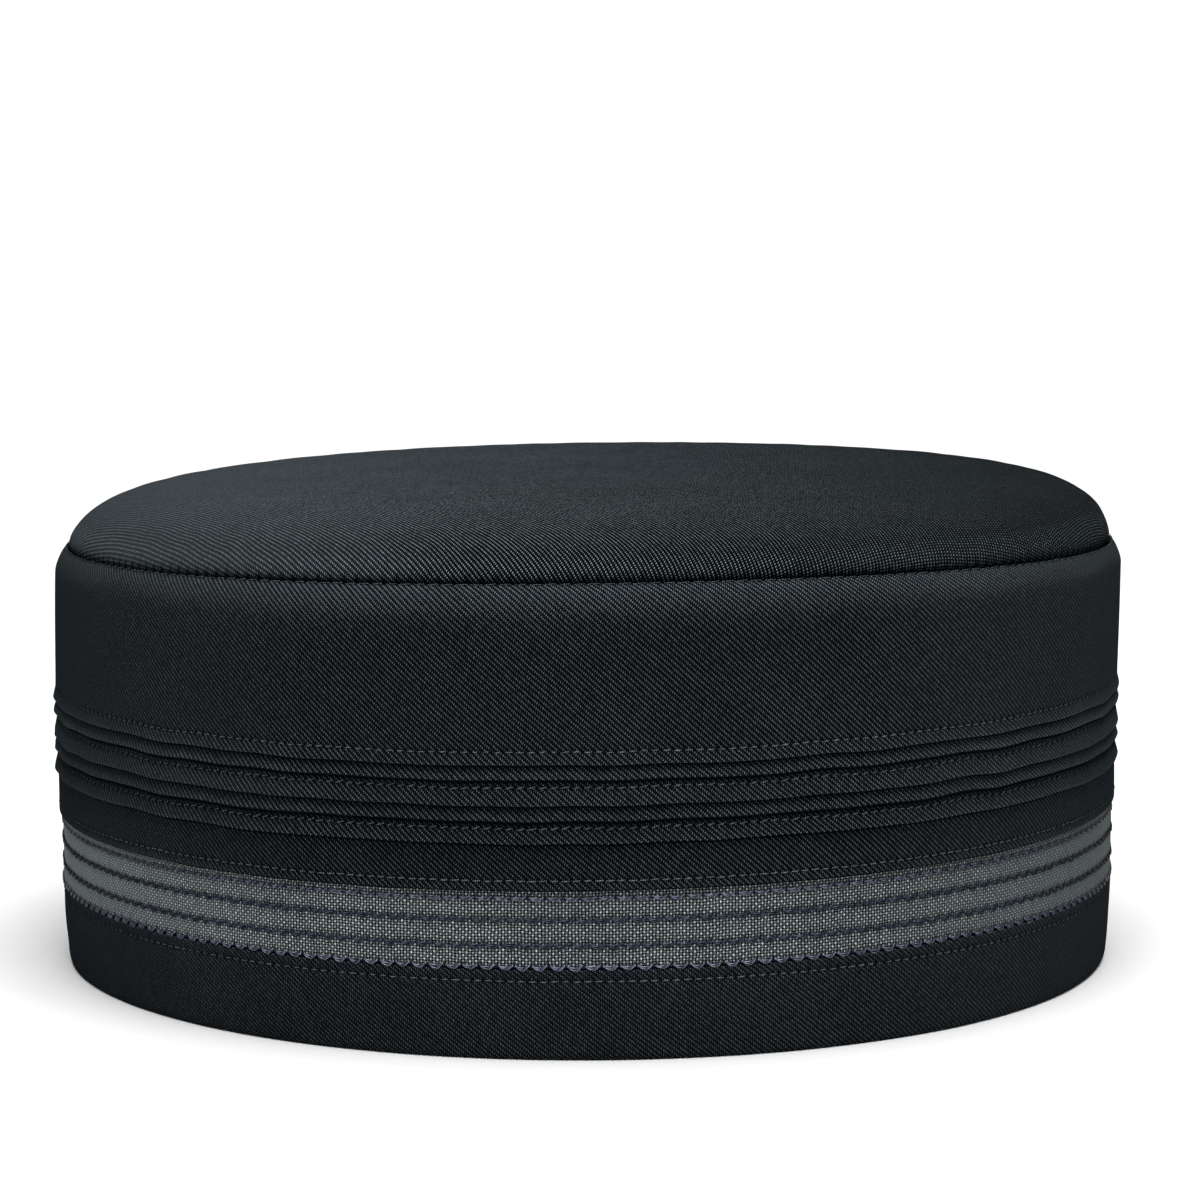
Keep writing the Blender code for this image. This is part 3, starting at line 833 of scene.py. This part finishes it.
band_corners = [
    (BAND_RADIUS, BAND_TOP, 0.40 * MM),
    (BAND_RADIUS - BAND_LEAN / 2 + BAND_BELLY, BAND_TOP / 2, 3.0 * MM),
    (BAND_RADIUS - BAND_LEAN, 0.9 * MM, 0.5 * MM),
    (BAND_RADIUS - BAND_LEAN - 0.4 * MM, 0.0, 0.45 * MM),
    (HEM_INSIDE + 0.2 * MM, 0.0, 0.3 * MM),
    (HEM_INSIDE, 0.6 * MM, 0.3 * MM),
    (HEM_INSIDE, HEM_TOP, 0.2 * MM),
    (BAND_INSIDE, HEM_TOP, 0.05 * MM),
    (BAND_INSIDE, BAND_TOP, 0.25 * MM),
]


def band_drift(angle, height):
    """How far out and up the band's cloth lies off its true place between hem and fold."""
    free = ramp(height, 0.0, 3 * MM) * (1 - ramp(height, 12.7 * MM, BAND_TOP))
    return 0.06 * MM * drift(angle, height, 51, 6, 40, 4 * MM) * free, 0.0


band_line = refined(
    eased(band_corners),
    closed=True,
    coarse=1.0 * MM,
    fine=0.22 * MM,
    fine_heights=(BAND_ROW,),
    face_radius=92.5 * MM,
)
angle, radius, height = carried_round(band_line, COLUMNS)
on_face = radius > 92.3 * MM
row_mark = hump(height, BAND_ROW, ROW_SPREAD) * on_face
radius = radius - ROW_SINK * row_mark + band_drift(angle, height)[0] * on_face
lower_band = cloth_mesh(
    "lower_band_cloth",
    placed(angle, radius, height),
    ring_threads(band_line, COLUMNS, WALL_RADIUS),
    closed=True,
)
mark(lower_band, "row", row_mark)
mark(lower_band, "nap", side_nap(angle, radius))
mark(lower_band, "wear_and_painted_light", hump(height, BAND_TOP, 0.4 * MM) * on_face)
lower_band.data.materials.append(
    twill_finish(
        "band_twill",
        dark=(0.0014, 0.0020, 0.0025, 1.0),
        light=(0.0600, 0.0720, 0.0805, 1.0),
        lean=0.0,
        crispness=1.7,
        holes=(("row", ROW_STITCHES, 0.0),),
    )
)
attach(lower_band, "root")
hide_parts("lower_band")

row = lockstitches(
    "topstitch_5",
    radius=93.45 * MM - ROW_SINK,
    height=BAND_ROW,
    count=ROW_STITCHES,
    reach=TOPSTITCH_REACH,
    thickness=TOPSTITCH_THICK,
    slant=0.03 * MM,
    cloth_drift=band_drift,
    seed=25,
)
row.data.materials.append(topstitch_thread)
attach(row, "root")


# Crown: one disc of the twill, eased into a low dome. Its edge turns down inside the side
# panel's rolled lip and is sewn to it, so the seam is a narrow groove with a step at its foot.
CROWN_RIM = 91.00 * MM
CROWN_FOOT = 75.71 * MM
CROWN_INNER_RIM = 89.35 * MM
CROWN_INNER_FOOT = 75.08 * MM
CROWN_WIDTH_POWER = 6.3
CROWN_RISE_POWER = 2.2
CROWN_CLOTH = 1.3 * MM
CROWN_TURN = math.radians(20)
SEAM_PINCH = 0.20 * MM
CROWN_TILT = 0.70 * MM


def dome(rim, foot, top, steps):
    """A superellipse from near the axis to the rim: (r / rim) to the width power plus
    ((z - foot) / rise) to the rise power is one. Near the axis r grows evenly, and further out
    r goes as sine and z as cosine of t."""
    t = np.linspace(0.0, 0.5 * np.pi, steps + 1)[1:]
    radius = rim * np.sin(t) ** (2 / CROWN_WIDTH_POWER)
    radius = np.concatenate((np.linspace(0.02 * rim, radius[0], 12)[:-1], radius))
    rise = 1 - np.minimum(radius / rim, 1.0) ** CROWN_WIDTH_POWER
    height = foot + (top - foot) * rise ** (1 / CROWN_RISE_POWER)
    return np.stack((radius, height), axis=-1)


outer_dome = dome(CROWN_RIM, CROWN_FOOT, CROWN_HEIGHT + 0.1 * MM, 100)
inner_dome = dome(CROWN_INNER_RIM, CROWN_INNER_FOOT, CROWN_HEIGHT - CROWN_CLOTH, 30)
turned_edge = np.array(
    [
        (90.40, 74.32),
        (91.33, 73.31),
        (91.73, 72.00),
        (91.73, 67.10),
        (90.43, 67.10),
        (90.43, 72.20),
    ]
)
crown_line = np.vstack((outer_dome, turned_edge * MM, inner_dome[::-1]))
crown_line = refined(
    crown_line,
    closed=False,
    coarse=4.0 * MM,
    fine=0.30 * MM,
    fine_heights=(CROWN_FOOT,),
    face_radius=90.3 * MM,
)
keep = np.concatenate(([True], np.linalg.norm(np.diff(crown_line, axis=0), axis=1) > 0.10 * MM))
crown_line = crown_line[keep]
ends, length = length_along(crown_line, False)
from_centre = crown_line[0, 0] + np.minimum(length, length[-1] - length)
angle, radius, height = carried_round(crown_line, COLUMNS)
flat_radius, flat_height = radius, height.copy()
seam_gap = np.hypot(flat_radius - 91.0 * MM, flat_height - 75.75 * MM)
radius = radius - SEAM_PINCH * hump(seam_gap, 0.0, 0.45 * MM)
loose = ramp(height, 76.0 * MM, 79.0 * MM) * (radius / CROWN_RIM) ** 3
height = height + 0.05 * MM * drift(angle, radius, 61, 10, 60, 8 * MM) * loose
right = np.clip(radius * np.cos(angle) / CROWN_RIM, 0.0, 1.0)
height = height + CROWN_TILT * right**2 * ramp(height, CROWN_FOOT, 79.0 * MM)
turn_angle = np.vstack((angle, angle[:1] + 2 * np.pi))
across = from_centre * np.cos(turn_angle)
down = -from_centre * np.sin(turn_angle)
warp = (across * math.cos(CROWN_TURN) + down * math.sin(CROWN_TURN)) / WARP_SPACING
weft = (down * math.cos(CROWN_TURN) - across * math.sin(CROWN_TURN)) / WEFT_SPACING
poles = [
    (settled(np.array([0.0, 0.0, CROWN_HEIGHT + 0.1 * MM])), (0.0, 0.0)),
    (settled(np.array([0.0, 0.0, CROWN_HEIGHT - CROWN_CLOTH])), (0.0, 0.0)),
]
crown = cloth_mesh(
    "crown_top_cloth",
    placed(angle, radius, height),
    np.stack((warp, weft), axis=-1),
    closed=False,
    poles=poles,
)
# The crown is brushed smooth most on its left. Painted light makes it paler on its left and round
# its rim, painted shade makes it darker on its right, and painted shade lies in the seam groove.
x = radius * np.cos(angle)
seam_painted_shade = 0.7 * hump(seam_gap, 0.0, 0.35 * MM)
seam_painted_shade *= 1.0 - 0.8 * to_sides(angle, radius, 50 * MM, 85 * MM)
rim_painted_light = 0.5 * hump(flat_height, 77.6 * MM, 1.6 * MM) * (flat_radius > 89.0 * MM)
mark(crown, "seam", hump(seam_gap, 0.0, 0.95 * MM))
mark(crown, "painted_shade", seam_painted_shade)
mark(crown, "nap", SIDE_NAP * ramp(-x, 20 * MM, 75 * MM) + 0.3 * ramp(x, 30 * MM, 80 * MM))
# Painted light round the rim and on the left, painted shade on the right.
mark(crown, "wear_and_painted_light", rim_painted_light + 0.22 - 1.12 * ramp(x, -60 * MM, 75 * MM))
# The crown's twill is lighter than the wall's: painted sheen on the same cloth.
crown.data.materials.append(
    twill_finish(
        "crown_twill",
        dark=TWILL_DARK,
        light=(0.1590, 0.1920, 0.2090, 1.0),
        lean=0.0,
        crispness=3.4,
        holes=(("seam", SEAM_STITCHES, 0.0),),
    )
)
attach(crown, "root")
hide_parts("crown_top")


# Crown seam: the stitches that hold the crown to the side panel. Each shows as a short thin
# thread on the panel's lip, between two needle holes that pull the cloth in.
seam_row = lockstitches(
    "seam_stitches",
    radius=91.55 * MM,
    height=SEAM_HEIGHT,
    count=SEAM_STITCHES,
    reach=1.9 * MM,
    thickness=0.13 * MM,
    slant=0.05 * MM,
    cloth_drift=wall_drift,
    seed=71,
)
seam_row.data.materials.append(
    thread_finish(
        "seam_thread",
        dark=(0.002, 0.003, 0.003, 1.0),
        light=(0.120, 0.152, 0.158, 1.0),
        roughness=0.6,
        gloss=0.0,
        twist=3.0,
        side_painted_shade=0.4,
    )
)
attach(seam_row, "root")


# Studio: a plain pale floor that sweeps up into a backdrop with its own light, one large soft
# light overhead, a weak one at the front right, and a dim surround.
FLOOR_HALF = 3.0
SWEEP_START = 1.4
SWEEP_RADIUS = 0.9
SWEEP_TOP = 2.6


def sweep_line():
    """The floor's (y, z) line: flat, then a quarter circle, then upright."""
    t = np.linspace(0, 0.5 * np.pi, 24)
    y = SWEEP_START + SWEEP_RADIUS * np.sin(t)
    z = SWEEP_RADIUS * (1 - np.cos(t))
    top = SWEEP_START + SWEEP_RADIUS
    return np.vstack(([(-FLOOR_HALF, 0.0)], np.stack((y, z), axis=-1), [(top, SWEEP_TOP)]))


line = sweep_line()
x = np.repeat((-FLOOR_HALF, FLOOR_HALF), len(line))
points = np.stack((x, np.tile(line[:, 0], 2), np.tile(line[:, 1], 2) - 0.05 * MM), axis=-1)
left = np.arange(len(line) - 1)
right = left + len(line)
strips = np.stack((left, right, right + 1, left + 1), axis=-1)
studio_mesh = bpy.data.meshes.new("studio_floor")
studio_mesh.from_pydata(points.tolist(), [], strips.tolist())
studio_mesh.shade_smooth()
studio_floor = bpy.data.objects.new("studio_floor", studio_mesh)
bpy.context.collection.objects.link(studio_floor)
pale = bpy.data.materials.new("pale_paper")
pale.use_nodes = True
pale_shader = pale.node_tree.nodes["Principled BSDF"]
pale_shader.inputs["Base Color"].default_value = (0.54, 0.54, 0.54, 1.0)
pale_shader.inputs["Roughness"].default_value = 0.9
studio_floor.data.materials.append(pale)


def soft_light(name, place, target, size, power):
    """A rectangular soft light at a place, turned to face its target."""
    data = bpy.data.lights.new(name, "AREA")
    data.shape = "RECTANGLE"
    data.size, data.size_y = size
    data.energy = power
    lamp = bpy.data.objects.new(name, data)
    bpy.context.collection.objects.link(lamp)
    lamp.location = place
    towards = np.array(target) - np.array(place)
    tip = math.atan2(math.hypot(towards[0], towards[1]), -towards[2])
    turn = math.atan2(towards[1], towards[0]) - math.pi / 2
    lamp.rotation_euler = (tip, 0.0, turn)


CAP_MIDDLE = (0.0, 0.0, 0.05)
soft_light("overhead_light", (0.08, -0.32, 1.42), CAP_MIDDLE, (1.2, 1.2), 54.0)
soft_light("front_light", (0.35, -1.8, 0.7), CAP_MIDDLE, (1.0, 0.8), 3.0)
soft_light("backdrop_light", (0.0, 1.7, 1.6), (0.0, 2.5, 0.0), (2.5, 0.8), 50.0)
world = bpy.data.worlds.new("studio_air")
world.use_nodes = True
world.node_tree.nodes["Background"].inputs["Color"].default_value = (0.95, 0.97, 1.0, 1.0)
world.node_tree.nodes["Background"].inputs["Strength"].default_value = 0.08
bpy.context.scene.world = world
bpy.context.scene.view_settings.view_transform = "Standard"


# Camera: a long lens at the photograph's place, a little above the crown and in front.
camera_data = bpy.data.cameras.new("studio_camera")
camera_data.sensor_width = 36.0
camera_data.lens = 120.0
camera = bpy.data.objects.new("studio_camera", camera_data)
bpy.context.collection.objects.link(camera)
camera.location = (0.0024, -0.7101, 0.1480)
camera.rotation_mode = "ZYX"
camera.rotation_euler = (math.radians(90 - 6.91), 0.0, math.radians(-0.10))
bpy.context.scene.camera = camera
